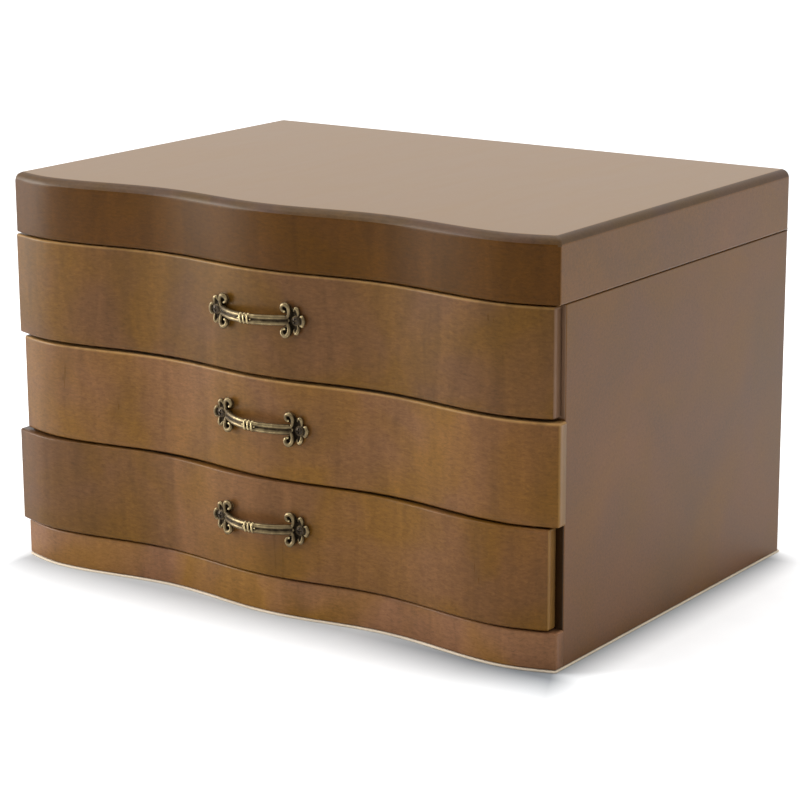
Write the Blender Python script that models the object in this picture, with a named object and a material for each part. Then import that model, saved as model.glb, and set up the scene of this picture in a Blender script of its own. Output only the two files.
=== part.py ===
"""Wooden jewelry box: a case with a wavy front, three drawers and a hinged lid.

Metres, +Z up. The origin is the middle of the footprint, at floor level. The front
faces -Y. Every board, hinge leaf, pin and screw is its own closed object.
"""
import math

import bmesh
import bpy
from mathutils import Matrix, Vector

# Overall size.
WIDTH = 0.290
DEPTH = 0.200  # from the line through the front corners to the back
HEIGHT = 0.182
SEAM = 0.154  # middle of the joint between the case and the lid
GAP = 0.0003  # play between pieces that touch

# The wavy front: a bulge in the middle, one near each end, hollows between them.
BULGE = 0.006  # how far a bulge stands in front of the corners
BULGE_PITCH = 0.118  # from one bulge to the next
WAVE_STEPS = 44

# Board thicknesses.
SIDE_THICK = 0.008
BACK_THICK = 0.006
SHELF_THICK = 0.003
FRONT_THICK = 0.0052  # of a drawer front at its ends
FELT_THICK = 0.0009
BOTTOM_THICK = 0.003
FLOOR_THICK = 0.004

# Heights of the front, bottom to top.
PLINTH_TOP = 0.0173
FRONT_SPANS = {1: (0.1073, 0.1534), 2: (0.0623, 0.1060), 3: (0.0182, 0.0615)}
SHELF_MIDDLES = {"shelf_upper": 0.1066, "shelf_lower": 0.0617}
TRAY_DECK_TOP = 0.144

# Drawers. Each box has some play, so a drawer can sit to one side or not quite shut.
FRONT_INSET = 0.0005  # a front is this much shorter than the case at each end
DRAWER_PLAY = 0.003
DRAWER_SIDE = 0.005
DRAWER_BOTTOM = 0.003
DRAWER_LIFT = 0.001  # running clearance under a drawer box
DRAWER_HEADROOM = 0.0035
DRAWER_REAR_CLEARANCE = 0.0035
SIDE_SHIFT = {1: -0.0014, 2: 0.0013, 3: -0.0024}
PULLED_OUT = {1: 0.0, 2: 0.0, 3: 0.0015}

# Handles: a cast bow between two rosettes, each held by a screw. They are fitted by
# hand, so each sits a little off the middle of its drawer.
HANDLE_X = {1: -0.0018, 2: -0.0033, 3: 0.0007}
HANDLE_Z = {1: 0.1336, 2: 0.0867, 3: 0.0416}
HANDLE_TILT = {1: 0.0, 2: 2.5, 3: 0.0}  # degrees, left end up
ROSETTE_X = 0.0215  # from the middle of the handle to each screw
FOOT_THICK = 0.0022
# Round lobes of each foot, from its screw: (away from the bow, up, radius).
FOOT_LOBES = (
    (0, 0, 0.0034),  # rosette around the screw
    (0.0032, 0, 0.0018),  # petals
    (0.0005, 0.0041, 0.0019),
    (0.0005, -0.0041, 0.0020),
    (-0.0055, 0.0048, 0.0028),  # scrolls
    (-0.0055, -0.0048, 0.0028),
    (-0.0042, 0, 0.0027),  # neck under the end of the bow
)
BOW_RISE = 0.0063  # from its ends to its middle
BOW_SIZE = (0.0030, 0.0044)  # thickness and height of the bar
BOW_END = 0.0048  # from each screw to the end of the bar
HANDLE_SCREW_RADIUS = 0.0008
HANDLE_SCREW_LENGTH = 0.0065

# Lid.
LID_OVERHANG = 0.0005
LID_PANEL_THICK = 0.006
LID_ROUNDING = 0.004
LID_RAIL = 0.008
MIRROR_SIZE = (0.230, 0.150, 0.002)

# Hinges on the back.
HINGE_X = 0.085
HINGE_WIDTH = 0.024
HINGE_LEAF_HEIGHT = 0.010
HINGE_LEAF_THICK = 0.0008
KNUCKLE_RADIUS = 0.0016
KNUCKLE_BORE = 0.0009
PIN_RADIUS = 0.0006
HINGE_SCREW_RADIUS = 0.0006
HINGE_SCREW_LENGTH = 0.0050

# Top tray.
DIVIDER_X = 0.045
DIVIDER_THICK = 0.003
CUSHION_COUNT = 3
CUSHION_SIZE = (0.086, 0.017, 0.0125)
CUSHION_PITCH = 0.0185

# Values that follow from the ones above.
FRONT = -DEPTH / 2
BACK = DEPTH / 2
CASE_FRONT = FRONT + FRONT_THICK + GAP  # front edges of the side panels
CASE_BOTTOM = FELT_THICK + GAP
CASE_TOP = SEAM - 0.0001
LID_BOTTOM = CASE_TOP + GAP
INSIDE_X = WIDTH / 2 - SIDE_THICK
INSIDE_BACK = BACK - BACK_THICK
PANEL_BOTTOM = HEIGHT - LID_PANEL_THICK
HINGE_AXIS = Vector((0, BACK + GAP + KNUCKLE_RADIUS, SEAM + 0.00005))

OUT_OF_FRONT = Matrix.Rotation(math.radians(90), 4, "X")  # turns +Z to -Y
OUT_OF_BACK = Matrix.Rotation(math.radians(-90), 4, "X")  # turns +Z to +Y


def material(name, color, roughness, metallic=0.0):
    """Principled material of one colour."""
    made = bpy.data.materials.new(name)
    made.use_nodes = True
    shader = made.node_tree.nodes["Principled BSDF"]
    shader.inputs["Base Color"].default_value = (*color, 1.0)
    shader.inputs["Roughness"].default_value = roughness
    shader.inputs["Metallic"].default_value = metallic
    return made


def body_axis(name, location):
    """Empty that carries the pieces of one moving body."""
    empty = bpy.data.objects.new(name, None)
    empty.location = location
    bpy.context.scene.collection.objects.link(empty)
    return empty


def add_object(name, bm, finish, parent=None, location=(0, 0, 0), turn=None):
    """Object from a bmesh, at a place and turn in the world, carried by parent."""
    bmesh.ops.recalc_face_normals(bm, faces=bm.faces)
    mesh = bpy.data.meshes.new(name)
    bm.to_mesh(mesh)
    bm.free()
    if finish:
        mesh.materials.append(finish)
    obj = bpy.data.objects.new(name, mesh)
    bpy.context.scene.collection.objects.link(obj)
    obj.parent = parent
    carried_from = parent.location if parent else Vector()
    obj.location = Vector(location) - carried_from
    if turn:
        obj.rotation_euler = turn.to_euler()
    return obj


def ease(obj, width, segments=1):
    """Round every sharp edge of an object."""
    bevel = obj.modifiers.new("Eased edges", "BEVEL")
    bevel.width = width
    bevel.segments = segments
    bevel.limit_method = "ANGLE"
    bevel.angle_limit = math.radians(40)


def combine(obj, operation, bm, location=(0, 0, 0)):
    """Cut or join a hidden helper shape, carried by the same body, with an object."""
    helper = add_object(obj.name + "." + operation.lower(), bm, None, obj.parent, location)
    helper.hide_render = True
    helper.display_type = "WIRE"
    boolean = obj.modifiers.new(operation.title(), "BOOLEAN")
    boolean.operation = operation
    boolean.solver = "EXACT"
    boolean.use_self = True
    boolean.object = helper


def box_mesh(size, bm=None, center=(0, 0, 0)):
    """Box of a size about a centre, added to bm if one is given."""
    bm = bm or bmesh.new()
    shape = Matrix.Translation(center) @ Matrix.Diagonal((*size, 1))
    bmesh.ops.create_cube(bm, size=1, matrix=shape)
    return bm


def rod_mesh(radius, length, placing=None, bm=None, sides=12):
    """Rod along its own +Z from z=0, added to bm if one is given."""
    bm = bm or bmesh.new()
    shape = (placing or Matrix()) @ Matrix.Translation((0, 0, length / 2))
    bmesh.ops.create_cone(
        bm, cap_ends=True, segments=sides, radius1=radius, radius2=radius, depth=length, matrix=shape
    )
    return bm


def board(name, low, high, finish, parent=None):
    """Straight board between two opposite corners."""
    low = Vector(low)
    high = Vector(high)
    return add_object(name, box_mesh(high - low), finish, parent, (low + high) / 2)


def bulge_at(x):
    """How far the wavy front stands forward of its corners at x."""
    if abs(x) < BULGE_PITCH:
        return BULGE * (1 + math.cos(2 * math.pi * x / BULGE_PITCH)) / 2
    end_run = WIDTH / 2 - BULGE_PITCH
    return BULGE * math.cos(math.pi / 2 * (abs(x) - BULGE_PITCH) / end_run)


def wavy_mesh(half_width, forward, back, bottom, top):
    """Upright board with the wavy front, a flat back and square ends."""
    bm = bmesh.new()
    outline = []
    for i in range(WAVE_STEPS + 1):
        x = half_width * (2 * i / WAVE_STEPS - 1)
        outline.append(bm.verts.new((x, FRONT - forward - bulge_at(x), bottom)))
    outline.append(bm.verts.new((half_width, back, bottom)))
    outline.append(bm.verts.new((-half_width, back, bottom)))
    base = bm.faces.new(outline)
    raised = bmesh.ops.extrude_face_region(bm, geom=[base])["geom"]
    raised_verts = [item for item in raised if isinstance(item, bmesh.types.BMVert)]
    bmesh.ops.translate(bm, verts=raised_verts, vec=(0, 0, top - bottom))
    return bm


def screw(name, head, shank, finish, parent, seat):
    """Round-headed screw; its own +Z points out of its head, whose underside is at z=0."""
    head_radius, head_height = head
    radius, length = shank
    dome = [(head_radius, 0), (head_radius * 0.8, head_height * 0.7), (0, head_height)]
    profile = [(0, -length), (radius, -length), (radius, 0)] + dome
    bm = bmesh.new()
    verts = [bm.verts.new((r, 0, z)) for r, z in profile]
    edges = [bm.edges.new(pair) for pair in zip(verts, verts[1:])]
    bmesh.ops.spin(
        bm, geom=verts + edges, cent=(0, 0, 0), axis=(0, 0, 1), angle=math.tau, steps=10
    )
    bmesh.ops.remove_doubles(bm, verts=bm.verts, dist=1e-6)
    obj = add_object(name, bm, finish, parent, seat.translation, seat)
    shade_round(obj)
    return obj


def shade_round(obj):
    """Smooth shading, except across real corners."""
    obj.data.shade_smooth()
    obj.data.set_sharp_from_angle(angle=math.radians(50))


# ---------------------------------------------------------------- case


def build_case(wood, lining, felt):
    """Outer case, shelves and the floor of the top tray."""
    for side, name in ((-1, "left_side_panel"), (1, "right_side_panel")):
        inner = side * INSIDE_X
        outer = side * WIDTH / 2
        low = (min(inner, outer), CASE_FRONT, CASE_BOTTOM)
        high = (max(inner, outer), BACK, CASE_TOP)
        ease(board(name, low, high, wood), 0.0006)
    fit_x = INSIDE_X - GAP
    back_panel = board(
        "back_panel", (-fit_x, INSIDE_BACK, CASE_BOTTOM), (fit_x, BACK, CASE_TOP), wood
    )
    fit_back = INSIDE_BACK - GAP
    board(
        "bottom_board",
        (-fit_x, CASE_FRONT, CASE_BOTTOM),
        (fit_x, fit_back, CASE_BOTTOM + BOTTOM_THICK),
        wood,
    )
    board(
        "drawer_floor",
        (-fit_x, CASE_FRONT, PLINTH_TOP - FLOOR_THICK),
        (fit_x, fit_back, PLINTH_TOP),
        wood,
    )
    for name, middle in SHELF_MIDDLES.items():
        low = (-fit_x, CASE_FRONT, middle - SHELF_THICK / 2)
        high = (fit_x, fit_back, middle + SHELF_THICK / 2)
        board(name, low, high, wood)
    plinth = add_object(
        "plinth_front",
        wavy_mesh(WIDTH / 2, 0, CASE_FRONT - GAP, CASE_BOTTOM, PLINTH_TOP),
        wood,
    )
    ease(plinth, 0.0006)
    add_object("felt_base_pad", wavy_mesh(WIDTH / 2, 0, BACK, 0, FELT_THICK), felt)
    build_tray(wood, lining, fit_x, fit_back)
    return back_panel


def build_tray(wood, lining, fit_x, fit_back):
    """Shallow tray under the lid, with two dividers and a bay of ring cushions."""
    deck_low = (-fit_x, CASE_FRONT, TRAY_DECK_TOP - SHELF_THICK)
    board("tray_deck", deck_low, (fit_x, fit_back, TRAY_DECK_TOP), wood)
    on_deck = TRAY_DECK_TOP + GAP
    rail_back = CASE_FRONT + 0.006
    board("tray_front_rail", (-fit_x, CASE_FRONT, on_deck), (fit_x, rail_back, CASE_TOP), wood)
    for side, name in ((-1, "tray_divider_left"), (1, "tray_divider_right")):
        middle = side * DIVIDER_X
        low = (middle - DIVIDER_THICK / 2, rail_back + GAP, on_deck)
        high = (middle + DIVIDER_THICK / 2, fit_back, CASE_TOP - 0.0015)
        board(name, low, high, wood)
    bay_middle = (DIVIDER_X + DIVIDER_THICK / 2 + INSIDE_X) / 2
    for i in range(CUSHION_COUNT):
        middle_y = rail_back + 0.0015 + CUSHION_PITCH * (i + 0.5)
        middle = Vector((bay_middle, middle_y, on_deck + CUSHION_SIZE[2] / 2))
        half = Vector(CUSHION_SIZE) / 2
        cushion = board(f"ring_cushion_{i + 1}", middle - half, middle + half, lining)
        ease(cushion, 0.004, segments=2)


# ------------------------------------------------------------- drawers


def handle_foot(x):
    """Frame of a rosette at x: its origin on the front board, its +Z out of the board."""
    step = 1e-5
    slope = (bulge_at(x + step) - bulge_at(x - step)) / (2 * step)
    seat = Vector((x, FRONT - bulge_at(x) - GAP, 0))
    return Matrix.Translation(seat) @ Matrix.Rotation(-math.atan(slope), 4, "Z") @ OUT_OF_FRONT


def bow_mesh(left_end, right_end):
    """Oval bar that springs from one foot, arches forward and comes down to the other."""
    bm = bmesh.new()
    steps = 12
    sides = 8
    path = []
    for i in range(steps + 1):
        across = math.sin(math.pi * (i / steps - 0.5))
        point = left_end.lerp(right_end, (1 + across) / 2)
        point.y -= BOW_RISE * max(1 - across**2, 0) ** 0.9
        path.append(point)
    rings = []
    for i, point in enumerate(path):
        along = (path[min(i + 1, steps)] - path[max(i - 1, 0)]).normalized()
        outward = along.cross(Vector((0, 0, 1))).normalized()
        ring = []
        for k in range(sides):
            angle = math.tau * (k + 0.5) / sides
            offset = outward * (BOW_SIZE[0] / 2 * math.cos(angle))
            offset.z = BOW_SIZE[1] / 2 * math.sin(angle)
            ring.append(bm.verts.new(point + offset))
        rings.append(ring)
    for first, second in zip(rings, rings[1:]):
        for k in range(sides):
            bm.faces.new((first[k], first[k - 1], second[k - 1], second[k]))
    bm.faces.new(rings[0])
    bm.faces.new(reversed(rings[-1]))
    return bm


def build_handle(number, bronze, steel, slide):
    """Cast handle with its two screws; returns the frames of the screw holes."""
    name = f"drawer_{number}_handle"
    middle_x = HANDLE_X[number]
    tilt = Matrix.Rotation(math.radians(HANDLE_TILT[number]), 4, "Y")
    pivot = Matrix.Translation((middle_x, 0, 0))
    lift = Matrix.Translation(slide.location + Vector((0, 0, HANDLE_Z[number])))
    placing = lift @ pivot @ tilt @ pivot.inverted()
    feet = [handle_foot(middle_x + side * ROSETTE_X) for side in (-1, 1)]
    ends = [
        foot @ Vector((-side * BOW_END, 0, FOOT_THICK)) for side, foot in zip((-1, 1), feet)
    ]
    bm = bow_mesh(*ends)
    bm.transform(placing)
    handle = add_object(name, bm, bronze, slide)
    plates = bmesh.new()
    bores = bmesh.new()
    for side, foot in zip((-1, 1), feet):
        for step, (outward, up, radius) in enumerate(FOOT_LOBES):
            inset = 0.0001 * step
            spot = placing @ foot @ Matrix.Translation((side * outward, up, inset))
            rod_mesh(radius, FOOT_THICK - 2 * inset, spot, plates, sides=10)
        start = placing @ foot @ Matrix.Translation((0, 0, -0.001))
        rod_mesh(HANDLE_SCREW_RADIUS + GAP, 0.012, start, bores, sides=10)
    combine(handle, "UNION", plates)
    combine(handle, "DIFFERENCE", bores)
    for side, foot in zip(("left", "right"), feet):
        seat = placing @ foot @ Matrix.Translation((0, 0, FOOT_THICK + GAP))
        head = (0.0019, 0.0010)
        shank = (HANDLE_SCREW_RADIUS, HANDLE_SCREW_LENGTH)
        screw(f"{name}_screw_{side}", head, shank, steel, slide, seat)
    return [placing @ foot for foot in feet]


def build_drawer(number, floor_z, ceiling_z, wood, inner_wood, bronze, steel):
    """Drawer: wavy front, two sides, back, bottom, handle and its screws."""
    shift = Vector((SIDE_SHIFT[number], -PULLED_OUT[number], 0))
    slide = body_axis(f"drawer_{number}_slide", shift)
    name = f"drawer_{number}"
    bottom, top = FRONT_SPANS[number]
    front_back = CASE_FRONT - GAP
    front_half = WIDTH / 2 - FRONT_INSET
    bm = wavy_mesh(front_half, 0, front_back, bottom, top)
    front = add_object(f"{name}_front", bm, wood, slide, shift)
    ease(front, 0.0014, segments=2)
    outer_x = INSIDE_X - DRAWER_PLAY
    inner_x = outer_x - DRAWER_SIDE
    low_z = floor_z + DRAWER_LIFT
    high_z = ceiling_z - DRAWER_HEADROOM
    start_y = front_back + GAP
    end_y = INSIDE_BACK - DRAWER_REAR_CLEARANCE
    back_y = end_y - DRAWER_SIDE
    fit_x = inner_x - GAP
    pieces = {
        "left_side": ((-outer_x, start_y, low_z), (-inner_x, end_y, high_z)),
        "right_side": ((inner_x, start_y, low_z), (outer_x, end_y, high_z)),
        "back": ((-fit_x, back_y, low_z), (fit_x, end_y, high_z)),
        "bottom": ((-fit_x, start_y, low_z), (fit_x, back_y - GAP, low_z + DRAWER_BOTTOM)),
    }
    for piece, (low, high) in pieces.items():
        board(f"{name}_{piece}", Vector(low) + shift, Vector(high) + shift, inner_wood, slide)
    holes = build_handle(number, bronze, steel, slide)
    bores = bmesh.new()
    depth = HANDLE_SCREW_LENGTH - FOOT_THICK
    for hole in holes:
        start = hole @ Matrix.Translation((0, 0, -depth - GAP))
        rod_mesh(HANDLE_SCREW_RADIUS + GAP, depth + 0.002, start, bores, sides=10)
    combine(front, "DIFFERENCE", bores)


# ----------------------------------------------------------------- lid


def build_lid(wood, mirror_glass, hinge):
    """Lid: rounded panel on four rails, with a mirror under it."""
    half_width = WIDTH / 2 + LID_OVERHANG
    bm = wavy_mesh(half_width, LID_OVERHANG, BACK, PANEL_BOTTOM, HEIGHT)
    rim = [edge for edge in bm.edges if all(vert.co.z > HEIGHT - 1e-6 for vert in edge.verts)]
    bmesh.ops.bevel(bm, geom=rim, offset=LID_ROUNDING, segments=4, profile=0.5, affect="EDGES")
    add_object("lid_panel", bm, wood, hinge)
    rail_top = PANEL_BOTTOM - GAP
    inner_x = half_width - LID_RAIL
    inner_front = FRONT + LID_RAIL
    inner_back = BACK - LID_RAIL
    bm = wavy_mesh(half_width, LID_OVERHANG, inner_front, LID_BOTTOM, rail_top)
    add_object("lid_front_rail", bm, wood, hinge)
    low_y = inner_front + GAP
    high_y = inner_back - GAP
    for side, name in ((-1, "lid_left_rail"), (1, "lid_right_rail")):
        ends = sorted((side * inner_x, side * half_width))
        board(name, (ends[0], low_y, LID_BOTTOM), (ends[1], high_y, rail_top), wood, hinge)
    low = (-half_width, inner_back, LID_BOTTOM)
    back_rail = board("lid_back_rail", low, (half_width, BACK, rail_top), wood, hinge)
    half = Vector(MIRROR_SIZE) / 2
    middle = Vector((0, 0, rail_top - half.z))
    board("lid_mirror", middle - half, middle + half, mirror_glass, hinge)
    return back_rail


# -------------------------------------------------------------- hinges


def leaf_mesh(direction):
    """Flat hinge leaf beside the knuckles: up for the lid (+1), down for the case (-1)."""
    clear = KNUCKLE_RADIUS + GAP
    size = Vector((HINGE_WIDTH, HINGE_LEAF_THICK, HINGE_LEAF_HEIGHT))
    leaf_y = -KNUCKLE_RADIUS + HINGE_LEAF_THICK / 2
    return box_mesh(size, center=(0, leaf_y, direction * (clear + size.z / 2)))


def knuckles_mesh(direction, spans):
    """Knuckles around the hinge axis and the arms that join them to their leaf."""
    bm = bmesh.new()
    turn = Matrix.Rotation(math.radians(90), 4, "Y")
    arm_height = KNUCKLE_RADIUS + GAP + 0.001
    leaf_y = -KNUCKLE_RADIUS + HINGE_LEAF_THICK / 2
    for low, high in spans:
        rod_mesh(KNUCKLE_RADIUS, high - low, Matrix.Translation((low, 0, 0)) @ turn, bm)
        size = (high - low, HINGE_LEAF_THICK, arm_height)
        box_mesh(size, bm, ((low + high) / 2, leaf_y, direction * arm_height / 2))
    return bm


def build_hinge(side_name, x, brass, hinge, back_panel_holes, lid_rail_holes):
    """One butt hinge: two leaves, a pin and four screws."""
    axis = HINGE_AXIS + Vector((x, 0, 0))
    half = HINGE_WIDTH / 2
    third = HINGE_WIDTH / 6
    outer_spans = ((-half, -third), (third, half))
    inner_spans = ((-third + GAP, third - GAP),)
    along = Matrix.Rotation(math.radians(90), 4, "Y")
    screw_x = HINGE_WIDTH / 2 - 0.0045
    screw_z = KNUCKLE_RADIUS + GAP + HINGE_LEAF_HEIGHT / 2
    leaves = (
        ("case", -1, outer_spans, None, back_panel_holes),
        ("lid", 1, inner_spans, hinge, lid_rail_holes),
    )
    for owner, direction, spans, parent, wood_holes in leaves:
        name = f"hinge_{side_name}_{owner}_leaf"
        leaf = add_object(name, leaf_mesh(direction), brass, parent, axis)
        combine(leaf, "UNION", knuckles_mesh(direction, spans), axis)
        bore = rod_mesh(KNUCKLE_BORE, HINGE_WIDTH + 0.002, along)
        combine(leaf, "DIFFERENCE", bore, axis - Vector((half + 0.001, 0, 0)))
        holes = bmesh.new()
        for number, offset in enumerate((-screw_x, screw_x), start=1):
            seat_y = -KNUCKLE_RADIUS + HINGE_LEAF_THICK
            seat = Vector((offset, seat_y, direction * screw_z))
            start = Matrix.Translation(seat + Vector((0, 0.001, 0))) @ OUT_OF_FRONT
            rod_mesh(HINGE_SCREW_RADIUS + GAP, HINGE_LEAF_THICK + 0.002, start, holes, sides=10)
            wood_holes.append(axis + seat)
            head_seat = Matrix.Translation(axis + seat + Vector((0, GAP, 0))) @ OUT_OF_BACK
            head = (0.0016, 0.0008)
            shank = (HINGE_SCREW_RADIUS, HINGE_SCREW_LENGTH)
            screw(f"hinge_{side_name}_{owner}_screw_{number}", head, shank, brass, parent, head_seat)
        combine(leaf, "DIFFERENCE", holes, axis)
    pin_length = HINGE_WIDTH + 0.0008
    pin_start = axis - Vector((pin_length / 2, 0, 0))
    pin_mesh = rod_mesh(PIN_RADIUS, pin_length, sides=10)
    pin = add_object(f"hinge_{side_name}_pin", pin_mesh, brass, hinge, pin_start, along)
    shade_round(pin)


def drill_back(obj, seats):
    """Pilot holes for the hinge screws in the back of a board."""
    bores = bmesh.new()
    for seat in seats:
        start = Matrix.Translation((seat.x, BACK + 0.001, seat.z)) @ OUT_OF_FRONT
        rod_mesh(HINGE_SCREW_RADIUS + GAP, HINGE_SCREW_LENGTH + 0.001, start, bores, sides=10)
    combine(obj, "DIFFERENCE", bores)


def main():
    for obj in list(bpy.data.objects):
        bpy.data.objects.remove(obj, do_unlink=True)
    wood = material("lacquered_wood", (0.180, 0.088, 0.036), 0.32)
    inner_wood = material("drawer_box_wood", (0.240, 0.130, 0.062), 0.50)
    lining = material("velvet_cushion", (0.330, 0.240, 0.150), 0.95)
    felt = material("base_felt", (0.520, 0.430, 0.330), 1.0)
    bronze = material("antique_bronze", (0.230, 0.160, 0.085), 0.40, 1.0)
    steel = material("dark_screw", (0.080, 0.060, 0.040), 0.45, 1.0)
    brass = material("hinge_brass", (0.560, 0.400, 0.170), 0.35, 1.0)
    mirror_glass = material("mirror_glass", (0.900, 0.900, 0.900), 0.03, 1.0)

    back_panel = build_case(wood, lining, felt)
    hinge = body_axis("lid_hinge", HINGE_AXIS)
    back_rail = build_lid(wood, mirror_glass, hinge)
    half_shelf = SHELF_THICK / 2
    rooms = {
        1: (SHELF_MIDDLES["shelf_upper"] + half_shelf, TRAY_DECK_TOP - SHELF_THICK),
        2: (SHELF_MIDDLES["shelf_lower"] + half_shelf, SHELF_MIDDLES["shelf_upper"] - half_shelf),
        3: (PLINTH_TOP, SHELF_MIDDLES["shelf_lower"] - half_shelf),
    }
    for number, (floor_z, ceiling_z) in rooms.items():
        build_drawer(number, floor_z, ceiling_z, wood, inner_wood, bronze, steel)
    panel_seats = []
    rail_seats = []
    for side_name, x in (("left", -HINGE_X), ("right", HINGE_X)):
        build_hinge(side_name, x, brass, hinge, panel_seats, rail_seats)
    drill_back(back_panel, panel_seats)
    drill_back(back_rail, rail_seats)


main()
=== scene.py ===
"""Looks of the jewelry box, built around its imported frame.

Metres, +Z up, the front faces -Y. The wavy boards, the lid, the handles, the screws and all
the fabric are built here; the other boards and the hinges are the frame's own nodes.
"""
import math

import bmesh
import bpy
import numpy as np
from mathutils import Matrix, Vector, noise


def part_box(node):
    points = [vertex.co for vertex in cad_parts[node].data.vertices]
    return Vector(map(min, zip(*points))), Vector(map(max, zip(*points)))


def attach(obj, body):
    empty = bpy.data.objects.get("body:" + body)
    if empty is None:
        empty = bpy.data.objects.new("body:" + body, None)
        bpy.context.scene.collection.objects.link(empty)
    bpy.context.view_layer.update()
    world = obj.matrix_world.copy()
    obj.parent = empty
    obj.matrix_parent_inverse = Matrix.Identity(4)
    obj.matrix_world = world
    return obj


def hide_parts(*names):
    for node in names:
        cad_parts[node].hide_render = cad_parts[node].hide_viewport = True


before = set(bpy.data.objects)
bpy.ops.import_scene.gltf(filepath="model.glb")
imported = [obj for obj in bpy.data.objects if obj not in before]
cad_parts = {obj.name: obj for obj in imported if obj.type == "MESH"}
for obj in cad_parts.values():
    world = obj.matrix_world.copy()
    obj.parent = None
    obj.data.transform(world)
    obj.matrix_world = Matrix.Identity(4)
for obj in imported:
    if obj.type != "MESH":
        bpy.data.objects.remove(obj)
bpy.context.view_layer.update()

# The wavy front, as in the frame: a bulge in the middle and one near each end.
BULGE = 0.006
BULGE_PITCH = 0.118
HALF_WIDTH = 0.145
FRONT = -0.100  # y of the front corners
WAVE_STEPS = 168

# Boards: how far their edges are rounded.
FRONT_EASE = 0.0009  # drawer fronts
PLINTH_EASE = 0.0009
SIDE_EASE = 0.0006
SIDE_BACK_EASE = 0.0028  # the case's back corners
LID_ROUNDING = 0.0040  # top edge and back corners of the lid
LID_EDGE_EASE = 0.0009  # its lower edge
LID_CORNER = 0.0011  # its upright front corners
LID_WALL = 0.008  # thickness of the lid's rails
LID_ROWS = 20  # of faces across the lid's top

# Handles.
ROSETTE_X = 0.0215  # from the handle's middle to each screw
BOW_END = 0.0048  # from each screw to the bow's end
BOW_RISE = 0.0063
BOW_STEPS = 48
FOOT_THICK = 0.0022
FOOT_SINK = 0.0004  # of the feet in the board
FOOT_LEAN = 0.55  # share of the board's slope that a foot follows
COLLAR_STEP = 0.00195  # between the rings of the collar
COLLAR_REACH = (0.00125, 0.0021)  # half sizes of a ring: out of the board, up
COLLAR_ROD = 0.00056
HANDLE_VOXEL = 0.00019
# The bow's core and its two ridges: (up, back, radius or the two of an oval).
BOW_STRANDS = (
    (0.0, 0.0004, (0.0009, 0.0012)), (0.00122, -0.0001, 0.00108), (-0.00122, -0.0001, 0.00100),
)

# Local tones of the wood, and painted highlight, sheen and shade on it.
HIGHLIT_RUB_WIDTH = 0.0012  # of the band along the top edge of a front: rubbed stain with a painted highlight
# Tone of that band: rubbed stain and a painted highlight.
RUBBED_AND_HIGHLIT = (0.46, 0.27, 0.10)
PALE_END_SHEEN = (0.27, 0.150, 0.045)  # paler end faces of the fronts, painted sheen
GREY_EDGE_SHEEN = (0.145, 0.082, 0.048)  # greyer painted sheen on the end of the top drawer's front, and on the case's front edge beside it
AMBER_END = (0.86, 0.82, 0.66)  # multiplies the stain at the right end of the fronts
AMBER_RUN = (0.085, 0.125)  # x from which it starts, and where it is full
DARK_RUN = (-0.125, -0.045)  # x where the dark left end is full, and where it stops
GAP_OVER_DRAWER_3 = 0.0618
GAP_OVER_DRAWER_2 = 0.1064
PAINTED_GAP_SHADES = (0.22, 0.85)  # painted shade on the case's front edge in the gaps beside the bottom and middle drawers
LACQUER_TINT = (1.0, 0.93, 0.80, 1.0)

OUT_OF_FRONT = Matrix.Rotation(math.radians(90), 4, "X")  # turns +Z to -Y


# ------------------------------------------------------------ materials


class Finish:
    """A material or a world under construction: add() makes a node, put() fills its inputs."""

    def __init__(self, name, world=None):
        owner = world or bpy.data.materials.new(name)
        owner.use_nodes = True
        self.material = owner
        self.tree = owner.node_tree
        self.shader = self.tree.nodes["Background" if world else "Principled BSDF"]

    def put(self, node, values):
        for key, value in values.items():
            if isinstance(value, bpy.types.NodeSocket):
                self.tree.links.new(value, node.inputs[key])
            else:
                node.inputs[key].default_value = value

    def add(self, kind, values, **settings):
        node = self.tree.nodes.new("ShaderNode" + kind)
        for key, value in settings.items():
            setattr(node, key, value)
        self.put(node, values)
        return node

    def object_place(self, scale=(1, 1, 1), shift=(0, 0, 0), turn=(0, 0, 0)):
        coords = self.add("TexCoord", {})
        values = {"Vector": coords.outputs["Object"], "Scale": scale}
        values.update({"Location": shift, "Rotation": turn})
        return self.add("Mapping", values).outputs[0]

    def noise(self, place, scale, detail=2.0, rough=0.5, distortion=0.0):
        values = {"Vector": place, "Scale": scale, "Detail": detail}
        values.update({"Roughness": rough, "Distortion": distortion})
        return self.add("TexNoise", values).outputs["Fac"]

    def remap(self, value, low, high, to_low=0.0, to_high=1.0):
        values = {"Value": value, "From Min": low, "From Max": high}
        values.update({"To Min": to_low, "To Max": to_high})
        return self.add("MapRange", values).outputs[0]

    def mix(self, share, first, second, blend="MIX"):
        node = self.add("Mix", {}, data_type="RGBA", blend_type=blend)
        for index, value in ((0, share), (6, first), (7, second)):
            if isinstance(value, bpy.types.NodeSocket):
                self.tree.links.new(value, node.inputs[index])
            elif index:
                node.inputs[index].default_value = (*value, 1.0)
            else:
                node.inputs[index].default_value = value
        return node.outputs[2]

    def bump(self, height, strength, distance):
        values = {"Height": height, "Strength": strength, "Distance": distance}
        return self.add("Bump", values).outputs[0]

    def multiply(self, first, second):
        return self.add("Math", {0: first, 1: second}, operation="MULTIPLY").outputs[0]

    def shaded(self, tone, value):
        """The tone multiplied by one number per point."""
        grey = self.add("CombineColor", {0: value, 1: value, 2: value}).outputs[0]
        return self.mix(1.0, tone, grey, "MULTIPLY")


def tinted(color, factor):
    return tuple(min(1.0, channel * factor) for channel in color)


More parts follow.
